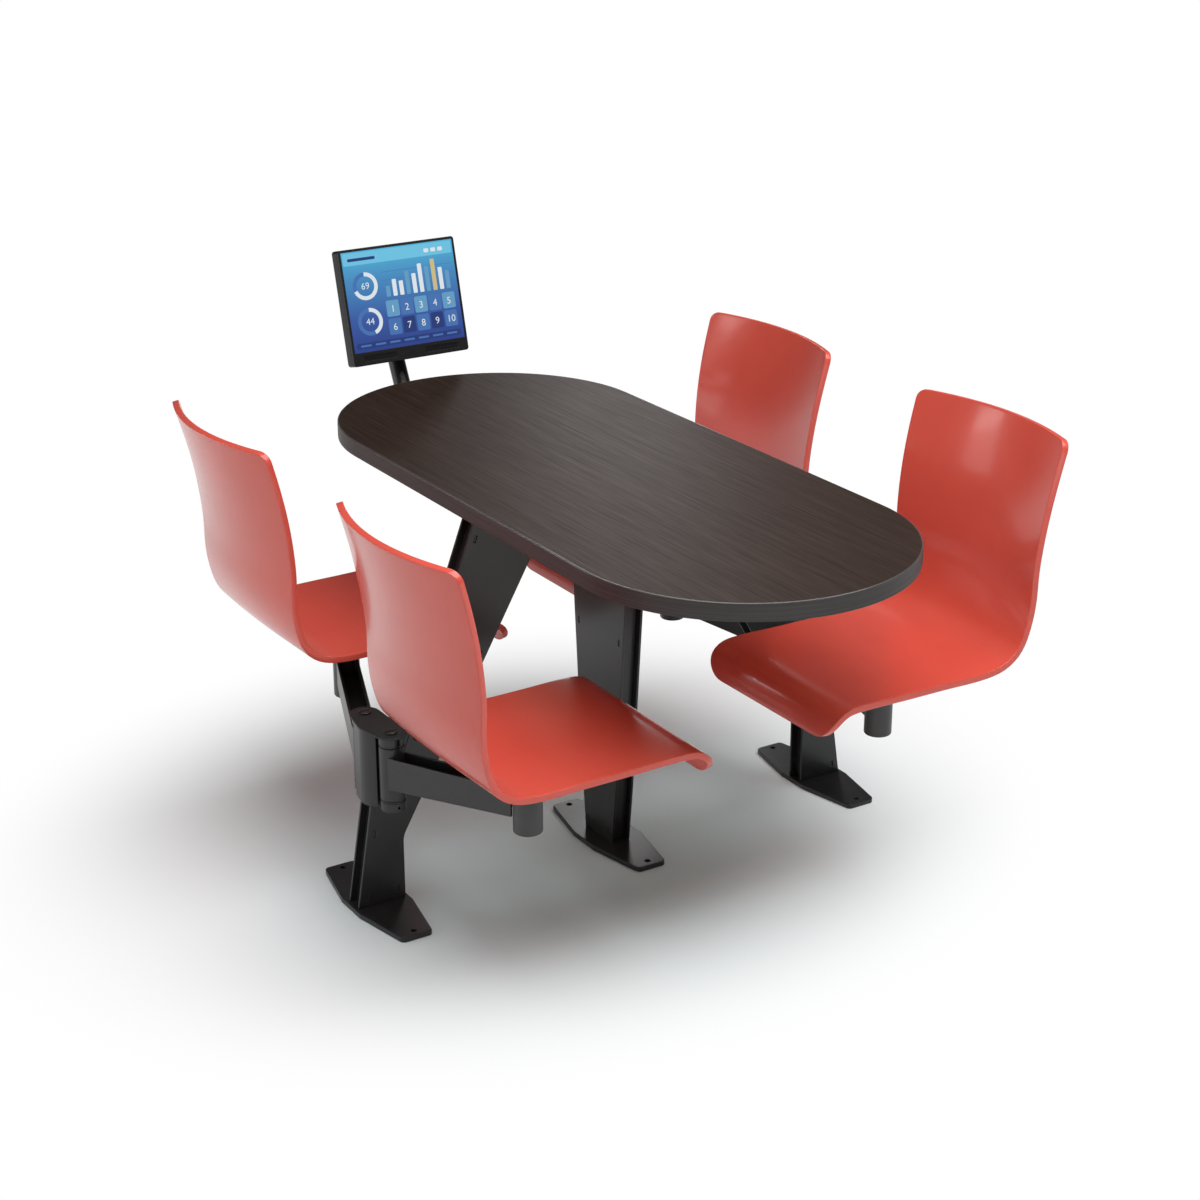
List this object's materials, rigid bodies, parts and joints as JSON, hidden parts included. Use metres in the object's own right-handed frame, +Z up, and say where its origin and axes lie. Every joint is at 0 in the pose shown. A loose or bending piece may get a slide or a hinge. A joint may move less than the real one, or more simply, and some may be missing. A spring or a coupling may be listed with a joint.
{
  "type": "table with attached seats",
  "caption": "Long table with half-round ends on welded plate legs, with shell seats on swing arms and a tilted screen on a bent tube at one end.",
  "frame": {"origin": "floor under the middle of the table top, on the underside of the centre foot plate", "axes": "+X along the table away from the screen, +Z up, so +Y is across the table"},
  "size_m": [1.5987, 1.301, 1],
  "materials": {
    "laminate": "satin wood-grain laminate",
    "core_board": "raw particle board",
    "edge_band": "satin edge band",
    "black_powder_coat": "satin powder coat",
    "grey_powder_coat": "satin powder coat",
    "bearing_plastic": "plain",
    "zinc_steel": "zinc plated",
    "seat_shell": "gloss",
    "screen_case": "fine texture",
    "screen_face": "gloss"
  },
  "bodies": {
    "frame": {"column_flange": "black_powder_coat", "column_foot": "black_powder_coat", "column_plate_left": "black_powder_coat", "column_plate_right": "black_powder_coat", "column_web_far": "black_powder_coat", "column_web_near": "black_powder_coat", "hinge_caps": "black_powder_coat", "hinge_pins": "zinc_steel", "hinge_washers": "bearing_plastic", "left_hinge_cover": "black_powder_coat", "left_hinge_frame": "black_powder_coat", "left_hinge_plate": "black_powder_coat", "left_leg_flange": "black_powder_coat", "left_leg_foot": "black_powder_coat", "left_leg_plate_far": "black_powder_coat", "left_leg_plate_near": "black_powder_coat", "left_leg_web_inner": "black_powder_coat", "left_leg_web_outer": "black_powder_coat", "right_hinge_cover": "black_powder_coat", "right_hinge_frame": "black_powder_coat", "right_hinge_plate": "black_powder_coat", "right_leg_flange": "black_powder_coat", "right_leg_foot": "black_powder_coat", "right_leg_plate_far": "black_powder_coat", "right_leg_plate_near": "black_powder_coat", "right_leg_web_inner": "black_powder_coat", "right_leg_web_outer": "black_powder_coat", "screen_bezel": "screen_case", "screen_bracket": "black_powder_coat", "screen_housing": "screen_case", "screen_panel": "screen_face", "screen_screws": "zinc_steel", "screen_tube": "black_powder_coat", "screen_tube_saddle": "black_powder_coat", "table_core": "core_board", "table_edge_band": "edge_band", "table_laminate": "laminate", "table_screws": "zinc_steel"},
    "arm_left_near": {"swing_arm_left_near": "black_powder_coat", "seat_post_left_near": "grey_powder_coat"},
    "seat_left_near": {"seat_shell_left_near": "seat_shell", "seat_swivel_left_near": "grey_powder_coat", "seat_bolts_left_near": "zinc_steel"},
    "arm_left_far": {"swing_arm_left_far": "black_powder_coat", "seat_post_left_far": "grey_powder_coat"},
    "seat_left_far": {"seat_shell_left_far": "seat_shell", "seat_swivel_left_far": "grey_powder_coat", "seat_bolts_left_far": "zinc_steel"},
    "arm_right_near": {"swing_arm_right_near": "black_powder_coat", "seat_post_right_near": "grey_powder_coat"},
    "seat_right_near": {"seat_shell_right_near": "seat_shell", "seat_swivel_right_near": "grey_powder_coat", "seat_bolts_right_near": "zinc_steel"},
    "arm_right_far": {"swing_arm_right_far": "black_powder_coat", "seat_post_right_far": "grey_powder_coat"},
    "seat_right_far": {"seat_shell_right_far": "seat_shell", "seat_swivel_right_far": "grey_powder_coat", "seat_bolts_right_far": "zinc_steel"}
  },
  "joints": [
    {"name": "arm_swing_left_near", "type": "hinge", "parent": "frame", "child": "arm_left_near", "pos_m": [0.0505, -0.48, 0.28], "axis": [0, 0, -1], "range_deg": [0, 45], "stiffness_Nm_per_rad": 8},
    {"name": "seat_swivel_left_near", "type": "hinge", "parent": "arm_left_near", "child": "seat_left_near", "pos_m": [0.34, -0.374, 0.35], "axis": [0, 0, 1], "range_deg": [-40, 40], "stiffness_Nm_per_rad": 4},
    {"name": "arm_swing_left_far", "type": "hinge", "parent": "frame", "child": "arm_left_far", "pos_m": [-0.0505, -0.48, 0.28], "axis": [0, 0, 1], "range_deg": [0, 45], "stiffness_Nm_per_rad": 8},
    {"name": "seat_swivel_left_far", "type": "hinge", "parent": "arm_left_far", "child": "seat_left_far", "pos_m": [-0.34, -0.374, 0.35], "axis": [0, 0, 1], "range_deg": [-40, 40], "stiffness_Nm_per_rad": 4},
    {"name": "arm_swing_right_near", "type": "hinge", "parent": "frame", "child": "arm_right_near", "pos_m": [0.0505, 0.48, 0.28], "axis": [0, 0, 1], "range_deg": [0, 45], "stiffness_Nm_per_rad": 8},
    {"name": "seat_swivel_right_near", "type": "hinge", "parent": "arm_right_near", "child": "seat_right_near", "pos_m": [0.34, 0.374, 0.35], "axis": [0, 0, 1], "range_deg": [-40, 40], "stiffness_Nm_per_rad": 4},
    {"name": "arm_swing_right_far", "type": "hinge", "parent": "frame", "child": "arm_right_far", "pos_m": [-0.0505, 0.48, 0.28], "axis": [0, 0, -1], "range_deg": [0, 45], "stiffness_Nm_per_rad": 8},
    {"name": "seat_swivel_right_far", "type": "hinge", "parent": "arm_right_far", "child": "seat_right_far", "pos_m": [-0.34, 0.374, 0.35], "axis": [0, 0, 1], "range_deg": [-40, 40], "stiffness_Nm_per_rad": 4}
  ]
}
